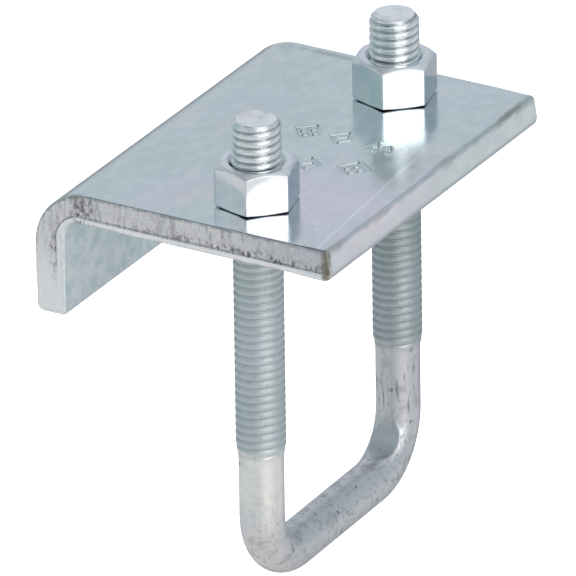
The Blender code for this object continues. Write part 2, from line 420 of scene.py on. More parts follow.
class Effects:
    """The node groups that the finishes share, each built once."""

    def __init__(self) -> None:
        """Builds every group."""
        self.cloud = self.build_cloud()
        self.brushing = self.build_brushing()
        self.pits = self.build_pits()
        self.stain = self.build_stain()
        self.wear = self.build_wear()

    @staticmethod
    def build_cloud() -> Tree:
        """Uneven plating: a broad cloud and a finer one, centred on a half and spread by a contrast.

        Returns:
            The group.
        """
        g = Effect("uneven plating", ("Place", "Scale", "Contrast"), ("Broad", "Fine"))
        place, scale, contrast = g.given
        drawn = [g.noise(place, g.times(scale, factor), detail, 0.55) for factor, detail in ((1.0, 2.0), (5.3, 4.0))]
        return g.deliver(*(g.math("ADD", g.swing(cloud, contrast), 0.5, clamp=True) for cloud in drawn))

    @staticmethod
    def build_brushing() -> Tree:
        """Fine streaks: noise on a place that is stretched along one axis.

        Returns:
            The group.
        """
        g = Effect("fine streaks", ("Place", "Stretch", "Scale", "Sharpness"), ("Height", "Mask"))
        place, stretch, scale, sharpness = g.given
        drawn = g.noise(g.vector("MULTIPLY", place, stretch), scale, 3.0, 0.6)
        low = g.math("SUBTRACT", 0.62, g.times(sharpness, 0.1))
        return g.deliver(drawn, g.rise(drawn, low, 0.72))

    @staticmethod
    def build_pits() -> Tree:
        """Scattered pits: the hearts of random cells, kept only where a cell's own number is high.

        Returns:
            The group.
        """
        g = Effect("scattered pits", ("Place", "Scale", "Size", "Share"), ("Mask",))
        place, scale, size, share = g.given
        warp = g.vector("MULTIPLY", g.noise(place, g.times(scale, 1.7), 2.0), (0.8 * MM, 0.8 * MM, 0.8 * MM))
        cells = g.node("ShaderNodeTexVoronoi")
        g.feed(cells.inputs["Vector"], g.vector("ADD", place, warp))
        g.feed(cells.inputs["Scale"], scale)
        core = g.rise(cells.outputs["Distance"], size, g.times(size, 0.35))
        chosen = g.rise(cells.outputs["Color"], g.rest(share), 1.0)
        return g.deliver(g.times(core, g.math("GREATER_THAN", chosen, 0.02)))

    @staticmethod
    def build_stain() -> Tree:
        """One stain: a soft ellipsoid round a centre, its border broken by noise.

        Returns:
            The group.
        """
        g = Effect("stain", ("Place", "Centre", "Reach", "Grain"), ("Mask",))
        place, centre, reach, grain = g.given
        scaled = g.vector("DIVIDE", g.vector("SUBTRACT", place, centre), reach)
        length = g.fed("ShaderNodeVectorMath", {0: scaled}, "Value", operation="LENGTH")
        broken = g.math("ADD", length, g.swing(g.noise(place, grain, 4.0, 0.65), 1.6))
        return g.deliver(g.rise(broken, 1.15, 0.35))

    @staticmethod
    def build_wear() -> Tree:
        """Edge wear: the mesh's edge value, broken up by noise."""
        g = Effect("edge wear", ("Place", "Edge", "Scale", "Amount"), ("Mask",))
        place, edge, scale, amount = g.given
        return g.deliver(g.times(edge, g.rise(g.noise(place, scale, 4.0, 0.6), 0.35, 0.62), amount))


class Coat(Wiring):
    """A metal material being built, read on the object's own coordinates."""

    def __init__(self, name: str) -> None:
        """Starts the material with a metal shader."""
        self.material = bpy.data.materials.new(name)
        self.material.use_nodes = True
        super().__init__(self.material.node_tree)
        self.shader = self.tree.nodes["Principled BSDF"]
        self.shader.inputs["Metallic"].default_value = 1.0
        self.place = self.node("ShaderNodeTexCoord").outputs["Object"]

    def axes(self) -> list[Socket]:
        """X, Y and Z of the place."""
        parts = self.node("ShaderNodeSeparateXYZ")
        self.feed(parts.inputs[0], self.place)
        return list(parts.outputs)

    def traits(self, *traits: Trait) -> list[Socket]:
        """Values that the mesh carries."""
        return [self.node("ShaderNodeAttribute", attribute_name=trait.value).outputs["Fac"] for trait in traits]

    def effect(self, tree: Tree, **inputs: Input) -> list[Socket]:
        """A placed effect.

        Args:
            tree: the effect's group.
            **inputs: its own values, and a place where it isn't the material's.

        Returns:
            The effect's outputs.
        """
        made = self.node("ShaderNodeGroup", node_tree=tree)
        for key, value in ({"Place": self.place} | inputs).items():
            self.feed(made.inputs[key], value)
        return list(made.outputs)

    def mask(
        self,
        low: float,
        high: float,
        scale: float,
        detail: float = 3.0,
        roughness: float = 0.5,
        stretch: Triple | None = None,
    ) -> Socket:
        """Noise on the material's place, turned into a mask.

        Args:
            low: the noise level where the mask starts to rise.
            high: the level where it is full.
            scale: features to the metre.
            detail: octaves of the noise.
            roughness: weight of the finer octaves.
            stretch: factors that draw the place out along an axis.

        Returns:
            The mask.
        """
        place = self.vector("MULTIPLY", self.place, stretch) if stretch else self.place
        return self.rise(self.noise(place, scale, detail, roughness), low, high)

    def finish(self, colour: Socket, roughness: Socket, layers: list[tuple[Socket, float]]) -> bpy.types.Material:
        """Feeds the shader.

        Args:
            colour: its base colour.
            roughness: its roughness.
            layers: pairs of a height from 0 to 1 and the depth in metres that it stands for.

        Returns:
            The material.
        """
        fed: dict[str, Socket] = {}
        for height, depth in layers:
            fed = {"Normal": self.fed("ShaderNodeBump", {"Strength": 1.0, "Distance": depth, "Height": height, **fed})}
        for name, value in {"Base Color": colour, "Roughness": roughness, **fed}.items():
            self.feed(self.shader.inputs[name], value)
        return self.material


@dataclass(frozen=True)
class Stain:
    """A stain's centre and reach in metres, and how strongly it shows."""

    centre: Triple
    reach: Triple
    strength: float


@dataclass(frozen=True)
class PlateFinish:
    """Bright zinc on rolled bar: clouded faces, torn sheared ends with a smooth band along their
    lower edge, smudges along the toe and a few stains."""

    blue: Colour = (0.70, 0.74, 0.76)
    lavender: Colour = (0.81, 0.76, 0.83)
    teal: Colour = (0.64, 0.75, 0.74)
    bloom: Colour = (0.82, 0.71, 0.75)
    pale: Colour = (0.88, 0.90, 0.91)
    rubbed: Colour = (0.97, 0.99, 0.99)
    inner_light: Colour = (0.90, 0.99, 1.0)
    inner_dark: Colour = (0.60, 0.74, 0.77)
    torn_dark: Colour = (0.50, 0.49, 0.50)
    torn_light: Colour = (0.90, 0.88, 0.89)
    torn_lip: Colour = (1.0, 0.99, 0.98)
    # painted shade on the sheared ends towards the toe
    torn_toe_shade: Colour = (0.55, 0.57, 0.62)
    rolled: Colour = (0.93, 0.95, 0.97)
    dirt: Colour = (0.17, 0.165, 0.165)
    smudge: Colour = (0.46, 0.44, 0.42)
    burr: Colour = (0.22, 0.205, 0.175)
    rust: Colour = (0.25, 0.225, 0.18)
    face_roughness: Pair = (0.13, 0.23)
    underside_roughness: float = 0.32
    torn_roughness: float = 0.42
    rolled_roughness: float = 0.30
    soiled_roughness: float = 0.60
    toe_slope: float = 0.076
    stains: tuple[Stain, ...] = (
        Stain((0.0223, -0.0396, 0.0030), (0.0012, 0.0011, 0.0046), 0.9),
        Stain((-0.0318, -0.0396, 0.0060), (0.0030, 0.0014, 0.0016), 0.5),
        Stain((0.0223, 0.0300, 0.0062), (0.0007, 0.0060, 0.0010), 0.5),
        Stain((-0.0180, 0.0376, 0.0064), (0.0110, 0.0009, 0.0020), 0.36),
        Stain((-0.0300, 0.0370, 0.0060), (0.0022, 0.0022, 0.0024), 0.22),
    )

    def faces(self, c: Coat, effects: Effects) -> tuple[Socket, Socket]:
        """Colour of the flat faces, clouded from teal to lavender.

        Args:
            c: the material.
            effects: the shared node groups.

        Returns:
            The colour, and the cloud's finer part, which dulls and dents the face.
        """
        x, y, _ = c.axes()
        drawn_out = c.vector("MULTIPLY", c.place, (1.0, 0.6, 1.0))
        broad, fine = c.effect(effects.cloud, Place=drawn_out, Scale=44.0, Contrast=3.4)
        shifted = c.vector("ADD", drawn_out, (0.31, 0.17, 0.05))
        tone, flecks = c.effect(effects.cloud, Place=shifted, Scale=78.0, Contrast=2.8)
        forward = c.between(c.rise(y, 0.024, -0.020), 0.30, 1.0)
        face = c.blend(c.times(broad, forward), self.teal, self.lavender)
        face = c.blend(c.times(tone, 0.55), face, self.blue)
        face = c.blend(c.times(c.mask(0.58, 0.72, 120.0, 3.0, 0.6, (1.0, 0.45, 1.0)), 0.35), face, self.bloom)
        face = c.blend(c.times(c.rise(flecks, 0.25, 0.85), 0.30), face, self.pale)
        mottled = c.blend(c.mask(0.36, 0.68, 320.0, 4.0, 0.7), self.inner_light, self.inner_dark)
        inner = c.times(*c.traits(Trait.DEPTH), c.rise(x, 0.012, -0.012), 0.65)
        return c.blend(inner, face, mottled), fine

    def toe(self, c: Coat, effects: Effects, colour: Socket) -> tuple[Socket, Socket]:
        """Smudges along the toe's upper edge and a pale rubbed line beside it.

        Args:
            c: the material.
            effects: the shared node groups.
            colour: the colour to lay them on.

        Returns:
            The new colour and the smudges' mask.
        """
        x, y, z = c.axes()
        across = c.math("ADD", x, c.times(y, self.toe_slope))
        line = c.times(c.rise(across, 0.0167, 0.0170), c.rise(across, 0.0176, 0.0172))
        line = c.times(line, c.rise(z, 0.0062, 0.0063), c.rise(y, 0.020, -0.010), 0.55)
        _, streaks = c.effect(effects.brushing, Stretch=(1.0, 0.16, 1.0), Scale=800.0, Sharpness=2.0)
        patches = c.mask(0.42, 0.66, 240.0, 4.0, 0.7, (1.0, 0.5, 1.0))
        body = c.math("MINIMUM", c.math("ADD", c.times(patches, 0.60), c.times(streaks, 0.45)), 0.9)
        smudged = c.times(c.rise(x, 0.0210, 0.0222), c.rise(z, 0.0046, 0.0058), body)
        return c.blend(c.times(smudged, 0.75), c.blend(line, colour, self.rubbed), self.smudge), smudged

    def ends(self, c: Coat, effects: Effects) -> tuple[Socket, Socket, Socket, Socket]:
        """Colour of the sheared ends: torn metal in upright streaks that grow rough and dark towards
        a line at three quarters of the depth, and a smooth rolled band below it.

        Args:
            c: the material.
            effects: the shared node groups.

        Returns:
            The colour, the torn metal's mask, the rolled band's mask and the streaks' height.
        """
        x, _, z = c.axes()
        (depth,) = c.traits(Trait.DEPTH)
        upright = c.rise(x, -0.0272, -0.0262)
        bent = c.times(c.rise(x, -0.0322, -0.0308), c.rest(upright))
        height, cracks = c.effect(effects.brushing, Stretch=(1.0, 1.0, 0.20), Scale=1700.0, Sharpness=1.0)
        speck = c.noise(c.place, 2300.0, 4.0, 0.7)
        tone = c.math("ADD", c.math("ADD", c.swing(height, 3.0), c.swing(speck, 1.6)), 0.62, clamp=True)
        colour = c.blend(tone, self.torn_dark, self.torn_light)
        colour = c.blend(c.times(c.rise(z, -0.001, -0.012), 0.85), colour, self.torn_lip)
        # Painted shade: the sheared end darkens towards the toe.
        colour = c.blend(c.times(c.rise(x, -0.002, 0.016), 0.45), colour, self.torn_toe_shade)
        patch = c.math("ADD", c.mask(0.40, 0.58, 95.0), c.rise(x, -0.004, 0.012), clamp=True)
        zone = c.times(c.rise(depth, 0.38, 0.66), c.rise(depth, 0.77, 0.73), patch)
        bits = c.mask(0.47, 0.60, 1500.0, 3.0, 0.6, (1.0, 1.0, 0.55))
        open_share = c.between(upright, c.between(bent, 0.16, 0.75), 0.28)
        torn = c.highest(
            c.times(c.highest(zone, c.times(bent, 0.85)), bits, 0.95),
            c.times(c.rise(depth, 0.655, 0.70), c.rise(depth, 0.765, 0.73), c.rise(speck, 0.38, 0.56), 0.65),
            c.times(c.rise(depth, 0.13, 0.05), c.mask(0.40, 0.58, 600.0), 0.5),
            c.times(cracks, open_share, c.rise(depth, 0.74, 0.68)),
        )
        torn = c.times(torn, c.rise(z, -0.016, -0.002))
        band = c.rise(depth, 0.745, 0.785)
        colour = c.blend(c.times(band, c.between(c.rise(speck, 0.42, 0.62), 1.0, 0.72)), colour, self.rolled)
        return c.blend(torn, colour, self.dirt), torn, band, height

    def build(self, effects: Effects) -> bpy.types.Material:
        """The plate's material.

        Args:
            effects: the shared node groups.

        Returns:
            The material.
        """
        c = Coat("zinc_plate")
        edge, shear, depth = c.traits(Trait.EDGE, Trait.SHEAR, Trait.DEPTH)
        face, fine = self.faces(c, effects)
        face, smudged = self.toe(c, effects, face)
        end, torn, band, grain = self.ends(c, effects)
        torn = c.times(torn, shear)
        (worn,) = c.effect(effects.wear, Edge=edge, Scale=420.0, Amount=0.30)
        (pits,) = c.effect(effects.pits, Scale=330.0, Size=0.13, Share=0.22)
        colour = c.blend(worn, c.blend(shear, face, end), self.burr)
        colour = c.blend(c.times(pits, 0.30), colour, self.dirt)
        for stain in self.stains:
            (spot,) = c.effect(effects.stain, Centre=stain.centre, Reach=stain.reach, Grain=900.0)
            colour = c.blend(c.times(spot, stain.strength), colour, self.rust)
        rough = c.between(depth, c.between(fine, *self.face_roughness), self.underside_roughness)
        rough = c.between(shear, rough, c.between(band, self.torn_roughness, self.rolled_roughness))
        rough = c.between(c.highest(smudged, torn, worn), rough, self.soiled_roughness)
        streaks, _ = c.effect(effects.brushing, Stretch=(1.0, 0.12, 1.0), Scale=900.0, Sharpness=0.5)
        layers = [
            (fine, 0.012 * MM),
            (streaks, 0.004 * MM),
            (c.times(grain, shear, c.rest(c.times(band, 0.8))), 0.12 * MM),
            (c.rest(c.highest(pits, torn)), 0.05 * MM),
        ]
        return c.finish(colour, rough, layers)


@dataclass(frozen=True)
class RodFinish:
    """Zinc on cold drawn rod: teal-grey rolled threads, a paler, pitted and streaked shank, all of
    it darker towards the rear leg as painted shade, and more streaked and dusty there, with pale
    cut ends and smooth dark bend flats. Painted shade also darkens the thread roots and the bottom of the U."""

    shank: Colour = (0.94, 0.925, 0.885)
    shank_rear_shade: Colour = (0.65, 0.65, 0.66)
    thread: Colour = (0.57, 0.63, 0.63)
    thread_rear_shade: Colour = (0.41, 0.47, 0.47)
    # painted shade for the thread roots
    root: Colour = (0.33, 0.39, 0.39)
    stud: Colour = (0.90, 0.92, 0.90)
    # painted shade for the bottom of the U
    bottom_shade: Colour = (0.70, 0.70, 0.71)
    cut: Colour = (1.0, 1.0, 0.99)
    cut_shade: Colour = (0.88, 0.86, 0.88)
    pressed: Colour = (0.46, 0.50, 0.50)
    bloom: Colour = (0.72, 0.71, 0.77)
    dirt: Colour = (0.17, 0.165, 0.16)
    shank_roughness: float = 0.34
    thread_roughness: float = 0.45
    stud_roughness: float = 0.15
    cut_roughness: float = 0.24
    marked_roughness: float = 0.60

    def build(self, effects: Effects) -> bpy.types.Material:
        """The U-bolt's material.

        Args:
            effects: the shared node groups.

        Returns:
            The material.
        """
        c = Coat("zinc_rod")
        _, y, z = c.axes()
        thread, root, cut, pressed = c.traits(Trait.THREAD, Trait.ROOT, Trait.CUT, Trait.PRESSED)
        # Painted shade: a rise along Y darkens the rear leg's tones; the same rise also adds streaks and dust there.
        rear_shade_and_marks, low, above = c.rise(y, -0.016, 0.016), c.rise(z, -0.052, -0.064), c.rise(z, -0.001, 0.0145)
        broad, fine = c.effect(effects.cloud, Scale=70.0, Contrast=2.4)
        # Painted shade: below z = -52 mm the plain rod takes a darker tone; the same mask also adds dust and specks
        # there.
        plain_tone = c.blend(low, c.blend(rear_shade_and_marks, self.shank, self.shank_rear_shade), self.bottom_shade)
        plain_tone = c.blend(c.times(pressed, 0.8), plain_tone, self.pressed)
        crest_tone = c.blend(above, c.blend(rear_shade_and_marks, self.thread, self.thread_rear_shade), self.stud)
        # Painted shade in the thread roots, by depth in the thread, stronger on the studs than on the legs.
        root_shade_share = c.times(c.rise(root, 0.25, 1.0), c.between(above, 0.30, 0.80))
        colour = c.blend(thread, plain_tone, c.blend(root_shade_share, crest_tone, self.root))
        colour = c.blend(c.times(broad, 0.3), colour, self.bloom)
        colour = c.blend(cut, colour, c.blend(c.mask(0.42, 0.66, 330.0), self.cut, self.cut_shade))
        plain = c.times(c.rest(thread), c.rest(cut), c.between(pressed, 1.0, 0.25))
        (pits,) = c.effect(effects.pits, Scale=420.0, Size=0.26, Share=0.30)
        height, streaks = c.effect(effects.brushing, Stretch=(1.0, 1.0, 0.16), Scale=1300.0, Sharpness=1.0)
        drawn = c.times(streaks, c.mask(0.45, 0.60, 120.0, 2.0), c.between(rear_shade_and_marks, 0.5, 1.0))
        dust = c.times(c.mask(0.50, 0.66, 260.0, 4.0, 0.65), c.between(c.highest(rear_shade_and_marks, low), 0.18, 0.45))
        share = c.between(low, c.between(thread, 0.15, 0.22), 0.55)
        specks = c.times(c.mask(0.54, 0.68, 900.0, 3.0, 0.6), share, c.rest(c.highest(cut, pressed)))
        marks = c.highest(c.times(plain, c.highest(pits, drawn, dust)), specks)
        colour = c.blend(c.times(marks, 0.7), colour, self.dirt)
        turned = c.between(above, self.thread_roughness, self.stud_roughness)
        rough = c.math("ADD", c.between(thread, self.shank_roughness, turned), c.times(fine, 0.08))
        rough = c.between(marks, c.between(cut, rough, self.cut_roughness), self.marked_roughness)
        return c.finish(colour, rough, [(fine, 0.03 * MM), (height, 0.02 * MM), (c.rest(marks), 0.06 * MM)])


@dataclass(frozen=True)
class NutFinish:
    """Bright zinc on a cold formed nut: near mirror faces and dulled corners."""

    bright: Colour = (0.86, 0.87, 0.89)
    blue: Colour = (0.76, 0.80, 0.84)
    dulled: Colour = (0.88, 0.89, 0.91)
    dirt: Colour = (0.34, 0.36, 0.37)
    # painted shade inside the bore and countersink
    bore: Colour = (0.70, 0.76, 0.77)
    roughness: float = 0.10
    chamfer_roughness: float = 0.50
    worn_roughness: float = 0.40

    def build(self, effects: Effects) -> bpy.types.Material:
        """The nuts' material.

        Args:
            effects: the shared node groups.

        Returns:
            The material.
        """
        c = Coat("zinc_nut")
        edge, inside, chamfer = c.traits(Trait.EDGE, Trait.SHEAR, Trait.DEPTH)
        broad, fine = c.effect(effects.cloud, Scale=160.0, Contrast=2.0)
        (worn,) = c.effect(effects.wear, Edge=edge, Scale=800.0, Amount=0.3)
        colour = c.blend(chamfer, c.blend(broad, self.bright, self.blue), self.dulled)
        # Painted shade: the bore and countersink take the darker bore colour, by the rows' shade value.
        colour = c.blend(inside, c.blend(worn, colour, self.dirt), self.bore)
        rough = c.math("ADD", c.times(fine, 0.06), self.roughness)
        rough = c.between(worn, c.between(chamfer, rough, self.chamfer_roughness), self.worn_roughness)
        streaks, _ = c.effect(effects.brushing, Stretch=(1.0, 1.0, 0.2), Scale=1200.0, Sharpness=0.5)
        return c.finish(colour, rough, [(broad, 0.02 * MM), (streaks, 0.004 * MM)])


# Pieces


@dataclass
class StampedMarks:
    """Plain shapes pressed into the plate's top: squares with a cross or a bar, and a zigzag."""

    stroke: float = 0.95 * MM
    press: float = 0.32 * MM
    lip: float = 0.06 * MM
    crossed: tuple[Triple, ...] = ((-6.9, 5.5, -7.0), (8.6, -5.3, 6.0))
    crossed_reach: float = 2.7
    cross_reach: float = 1.7
    barred: tuple[Triple, ...] = ((0.3, 5.6, 0.0), (0.1, -7.4, 12.0))
    barred_reach: float = 2.5
    bar_reach: float = 0.7
    zigzag: tuple[Pair, ...] = ((5.8, 3.4), (7.4, 6.4), (8.6, 3.2), (10.2, 6.2), (11.4, 3.4))

    def strokes(self) -> np.ndarray:
        """Each stroke's two ends in X and Y. A square is given by its middle, its reach to a corner
        and the turn of its first corner, in millimetres and degrees.

        Returns:
            Strokes by 4, in metres.
        """
        made: list[tuple[float, ...]] = []

        def run(corners: Sequence[Pair]) -> None:
            """Adds a stroke between each two corners."""
            made.extend((*a, *b) for a, b in zip(corners, corners[1:]))

        def spokes(x: float, y: float, reach: float, turns: Sequence[float]) -> list[Pair]:
            """Points at a reach from a middle, one for each turn."""
            return [(x + reach * math.cos(math.radians(a)), y + reach * math.sin(math.radians(a))) for a in turns]

        for x, y, turn in self.crossed:
            run(spokes(x, y, self.crossed_reach, [turn + 90.0 * i for i in range(5)]))
            for first in (turn + 45.0, turn + 135.0):
                run(spokes(x, y, self.cross_reach, (first + 180.0, first)))
        for x, y, turn in self.barred:
            run(spokes(x, y, self.barred_reach, [turn + 90.0 * i for i in range(5)]))
            run(((x - self.bar_reach, y - self.bar_reach), (x + self.bar_reach, y + self.bar_reach)))
        run(self.zigzag)
        return np.array(made) * MM

    def drop(self, x: np.ndarray, y: np.ndarray) -> np.ndarray:
        """How far the surface lies below the flat face: a round-bottomed groove along each
        stroke, by distance to the nearest stroke, with a low lip along its sides.

        Args:
            x: places in X.
            y: places in Y.

        Returns:
            The drop at each place, below 0 at the lip.
        """
        nearest = np.full(np.broadcast_shapes(x.shape, y.shape), 1.0)
        for ax, ay, bx, by in self.strokes():
            length = max((bx - ax) ** 2 + (by - ay) ** 2, 1e-12)
            share = np.clip(((x - ax) * (bx - ax) + (y - ay) * (by - ay)) / length, 0.0, 1.0)
            gap = np.hypot(x - ax - share * (bx - ax), y - ay - share * (by - ay))
            nearest = np.minimum(nearest, gap)
        half = self.stroke / 2
        groove = self.press * smoothstep(half, half * 0.15, nearest)
        lip = self.lip * smoothstep(half * 1.9, half * 1.25, nearest) * smoothstep(half * 0.8, half * 1.2, nearest)
        return groove - lip


@dataclass
class ClampPlate:
    """The clamp plate: flat bar folded once along Y, with rolled edges at toe and lip, two sheared
    ends and a hole for each leg."""

    thickness: float = 6.35 * MM
    width: float = 79.4 * MM
    toe_reach: float = 23.72 * MM
    heel_reach: float = 40.15 * MM
    lip_drop: float = 19.4 * MM
    fold_outer: float = 11.6 * MM
    fold_inner: float = 3.0 * MM
    toe_slant: float = 1.0 * MM
    toe_top_radius: float = 1.0 * MM
    toe_bottom_radius: float = 2.0 * MM
    lip_outer_radius: float = 1.5 * MM
    lip_inner_radius: float = 1.0 * MM
    sheared_top: float = 0.45 * MM
    sheared_bottom: float = 1.25 * MM
    sheared_corner: float = 0.8 * MM
    hole_radius: float = 5.5625 * MM
    hole_edge: float = 0.3 * MM
    legs: Legs = Legs()
    hole_block: float = 8.0 * MM
    fine_step: float = 0.2 * MM
    marked_x: Pair = (-11.6 * MM, 13.4 * MM)
    marked_y: float = 11.6 * MM
    flat_x: Pair = (-26.0 * MM, 21.0 * MM)
    front_rows: tuple[float, ...] = (-38.2 * MM, -37.6 * MM, -36.6 * MM, -35.3 * MM)
    rear_rows: tuple[float, ...] = (36.5 * MM, 37.3 * MM, 37.9 * MM, 38.3 * MM)
    ledge: float = 0.16 * MM
    ledge_share: float = 0.84
    ledge_spread: float = 0.06
    tearing: float = 0.05 * MM
    rim_step: float = 0.05 * MM
    hole_ease: float = 0.06 * MM
    corner_fade: float = 9.0 * MM
    toe_corner: float = 3.5 * MM
    lip_corner: float = 4.0 * MM
    closing: float = 5.2 * MM

    def fine_run(self, start: float, end: float) -> np.ndarray:
        """Places from start to end, a fine step apart."""
        return np.linspace(start, end, round(abs(end - start) / self.fine_step))

    def flat_stations(self) -> np.ndarray:
        """X of the stations along the flat, from the toe's side to the fold's: close together
        across the stamped place, and with one at each side of the holes' blocks.

        Returns:
            The stations, falling.
        """
        (low, high), (flat_low, flat_high), block = self.marked_x, self.flat_x, self.hole_block
        fine = [self.fine_run(a, b)[:-1] for a, b in ((high, block), (block, -block), (-block, low))]
        return np.concatenate([np.linspace(flat_high, high, 10)[:-1], *fine, np.linspace(low, flat_low, 18)])

    def outlines(self) -> tuple[Curve, Curve]:
        """The bar's outer and inner lines in X and Z, from the middle of the toe round the fold to
        the middle of the lip's edge, with as many points in each.

        Returns:
            The outer curve, which is the top face and the lip's back, and the inner curve.
        """
        t, flat = self.thickness, self.flat_stations()
        facing = math.atan2(self.toe_slant, t)
        nx, nz = math.cos(facing), math.sin(facing)
        rt, rb = self.toe_top_radius, self.toe_bottom_radius
        top = (self.toe_reach - self.toe_slant - rt * (1 - nz) / nx, t - rt)
        low = (self.toe_reach - rb * (1 + nz) / nx, rb)
        top_end = (top[0] + rt * nx, top[1] + rt * nz)
        low_end = (low[0] + rb * nx, low[1] + rb * nz)
        middle = ((top_end[0] + low_end[0]) / 2, (top_end[1] + low_end[1]) / 2)
        shares = np.array([0.0, 0.2, 0.45, 0.7, 0.9, 1.0])
        deg = math.degrees(facing)
        heel, lip = -self.heel_reach, -self.lip_drop
        inner = heel + t
        ro, ri = self.lip_outer_radius, self.lip_inner_radius
        lip_middle = ((heel + ro + inner - ri) / 2, lip)

        def along(first: float, last: float, z: float, normal: float) -> Curve:
            """The flat's run at a height, with all its stations."""
            places = np.concatenate([[first], flat, np.linspace(flat[-1], last, 5)[1:]])
            points = np.stack([places, np.full(len(places), z)], axis=1)
            return Curve(points, np.tile([0.0, normal], (len(places), 1)))

        down = np.linspace(0.0, 1.0, 15)
        outer_curve = Curve.join(
            [
                Curve.line(middle, top_end, shares, (nx, nz)),
                Curve.arc(top, rt, deg, 90.0, 8),
                along(top[0], heel + self.fold_outer, t, 1.0),
                Curve.arc((heel + self.fold_outer, t - self.fold_outer), self.fold_outer, 90.0, 180.0, 36),
                Curve.line((heel, t - self.fold_outer), (heel, lip + ro), down, (-1.0, 0.0)),
                Curve.arc((heel + ro, lip + ro), ro, 180.0, 270.0, 8),
                Curve.line((heel + ro, lip), lip_middle, shares, (0.0, -1.0)),
            ]
        )
        inner_curve = Curve.join(
            [
                Curve.line(middle, low_end, shares, (nx, nz)),
                Curve.arc(low, rb, deg, -90.0, 8),
                along(low[0], inner + self.fold_inner, 0.0, -1.0),
                Curve.arc((inner + self.fold_inner, -self.fold_inner), self.fold_inner, 90.0, 180.0, 36, hollow=True),
                Curve.line((inner, -self.fold_inner), (inner, lip + ri), down, (1.0, 0.0)),
                Curve.arc((inner - ri, lip + ri), ri, 0.0, -90.0, 8),
                Curve.line((inner - ri, lip), lip_middle, shares, (0.0, -1.0)),
            ]
        )
        return outer_curve, inner_curve

    def rows_across(self) -> tuple[np.ndarray, np.ndarray]:
        """Y of the rows across the plate, those along its edges left out.

        Returns:
            The rows of the top face and those of the underside.
        """
        front, rear = (self.legs.axis(side)[1] + np.linspace(-self.hole_block, self.hole_block, 17) for side in (-1, 1))
        fine = self.fine_run(-self.marked_y, self.marked_y)
        before = np.linspace(front[-1], fine[0], 7)[1:-1]
        after = np.linspace(fine[-1], rear[0], 7)[1:-1]
        plain = np.linspace(front[-1], rear[0], 26)[1:-1]
        top = np.concatenate([self.front_rows, front, before, fine, after, rear, self.rear_rows])
        return top, np.concatenate([self.front_rows, front, plain, rear, self.rear_rows])

    def shell(self) -> Shell:
        """The plate as one welded surface.

        Station i runs along the bar and row j runs round its section: across the top face, round a
        small radius, down the sheared end, round the larger rolled-over radius, across the
        underside and back up. The top and the underside meet in a line at toe and lip, which
        closes the surface. Each hole is a strip of rings from the square block round it to its
        rim, through the plate and out again.

        Returns:
            The gathered grids.
        """
        outer, inner = self.outlines()
        stations = len(outer.points)
        steps = np.linalg.norm(np.diff((outer.points + inner.points) / 2, axis=0), axis=1)
        run = np.concatenate([[0.0], np.cumsum(steps)])
        from_lip = run[-1] - run
        toe_end = smoothstep(self.corner_fade, self.toe_corner, run)
        ends = np.maximum(toe_end, smoothstep(self.corner_fade, self.lip_corner, from_lip))
        top_radius = self.sheared_top + (self.sheared_corner - self.sheared_top) * ends
        low_radius = self.sheared_bottom + (self.sheared_corner - self.sheared_bottom) * ends
        half = self.width / 2
        top_y, under_y = self.rows_across()
        columns: list[np.ndarray] = []
        marks: list[Pair] = []

        def column(flat: np.ndarray, y: np.ndarray | float, edge: float = 0.0, shear: float = 0.0) -> None:
            """Adds one column of points along the bar."""
            columns.append(np.stack([flat[:, 0], np.broadcast_to(y, stations), flat[:, 1]], axis=1))
            marks.append((edge, shear))

        def corner(curve: Curve, radius: np.ndarray, side: float, turns: np.ndarray) -> None:
            """Adds the columns of a rounded corner.

            Args:
                curve: the flat that the corner starts or ends on.
                radius: the corner's radius at each station.
                side: the end's side, 1 or -1.
                turns: the angles of its columns.
            """
            for turn in turns:
                inset = radius * (1 - math.cos(turn))
                y = side * (half - radius + radius * math.sin(turn))
                column(curve.points - curve.normals * inset[:, None], y, math.sin(2 * turn) ** 2, math.sin(turn) ** 2)

        def sheared_end(side: float, shares: np.ndarray, seed: int) -> None:
            """Adds the columns of an end: torn, with a ledge where the tear begins.

            Args:
                side: the end's side, 1 or -1.
                shares: how far down the end each column lies.
                seed: seed of the tear.
            """
            start = outer.points - outer.normals * top_radius[:, None]
            stop = inner.points - inner.normals * low_radius[:, None]
            for share in shares:
                ledge = self.ledge * math.exp(-(((share - self.ledge_share) / self.ledge_spread) ** 2))
                rough = self.tearing * smoothstep(0.0, 0.15, share) * smoothstep(1.0, 0.85, share)
                wander = ripple(run, 2.2 * MM, seed) + 0.3 * ripple(run + 7 * share * MM, 0.9 * MM, seed + 1)
                wander = 0.5 + 0.5 * np.clip(wander, -1, 1)
                inset = (ledge + rough) * (0.35 + 0.65 * wander) * (1 - ends * 0.6)
                column(start + share * (stop - start), side * (half - inset), 0.0, 1.0)

        top_turns = np.linspace(0.0, math.pi / 2, 5)
        low_turns = np.linspace(math.pi / 2, 0.0, 8)
        shares = np.array([0.05, 0.12, 0.22, 0.34, 0.46, 0.58, 0.68, 0.75, 0.80, 0.84, 0.88, 0.93])
        for y in top_y:
            column(outer.points, y)
        column(outer.points, half - top_radius - self.rim_step, 0.1)
        corner(outer, top_radius, 1.0, top_turns)
        sheared_end(1.0, shares, 11)
        corner(inner, low_radius, 1.0, low_turns)
        column(inner.points, half - low_radius - self.rim_step)
        under_start = len(columns)
        for y in under_y[::-1]:
            column(inner.points, y)
        column(inner.points, -(half - low_radius - self.rim_step))
        corner(inner, low_radius, -1.0, low_turns[::-1])
        sheared_end(-1.0, shares[::-1], 23)
        corner(outer, top_radius, -1.0, top_turns[::-1])
        column(outer.points, -(half - top_radius - self.rim_step), 0.1)

        grid = np.stack(columns, axis=1)
        edge, shear = np.array(marks).T
        traits = {Trait.EDGE: edge, Trait.SHEAR: shear, Trait.DEPTH: self.depth(grid, outer, inner)}
        off_flat = np.abs(outer.points[:, 1] - self.thickness)
        top = grid[:, : len(top_y)]
        top[..., 2] -= np.where((off_flat < 1e-9)[:, None], StampedMarks().drop(top[..., 0], top[..., 1]), 0.0)

